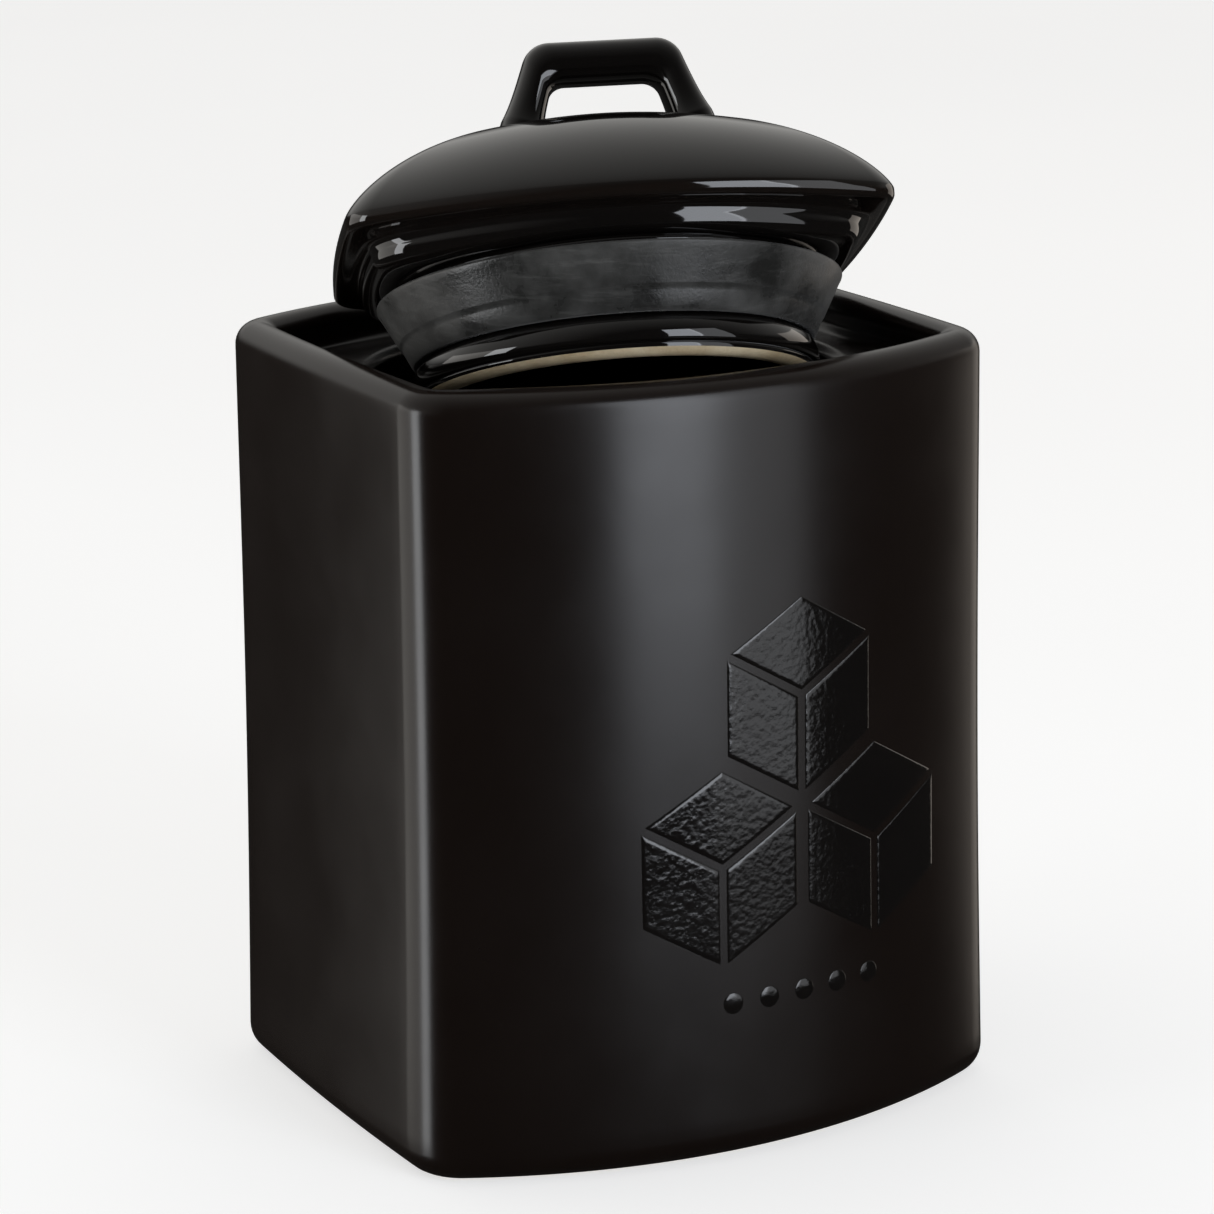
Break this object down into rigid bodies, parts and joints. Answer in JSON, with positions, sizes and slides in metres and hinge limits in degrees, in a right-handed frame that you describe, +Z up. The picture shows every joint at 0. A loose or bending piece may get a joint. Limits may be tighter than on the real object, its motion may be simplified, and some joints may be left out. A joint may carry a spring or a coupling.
{
  "type": "sugar bowl",
  "caption": "Upright rounded-square stoneware sugar jar with a tray rim and round mouth, and a domed lid with an arched handle and a tapered seal, leaned open.",
  "frame": {"origin": "centre of the jar's flat base, on the surface it stands on", "axes": "+Z up along the jar, -Y out of the bowed front with the raised motif, +X to the right as seen from the front"},
  "size_m": [0.1146, 0.1082, 0.1836],
  "materials": {
    "satin_glaze": "satin",
    "gloss_glaze": "gloss",
    "grey_silicone": "matte"
  },
  "bodies": {
    "jar": {"jar_body": "satin_glaze", "jar_motif": "gloss_glaze"},
    "lid": {"lid_cap": "gloss_glaze", "lid_handle": "gloss_glaze", "lid_plug": "gloss_glaze", "seal_ring": "grey_silicone"}
  },
  "joints": [
    {"name": "lid_lift", "type": "slide", "parent": "jar", "child": "lid", "axis": [0, 0, 1], "range_m": [0, 0.07]}
  ]
}
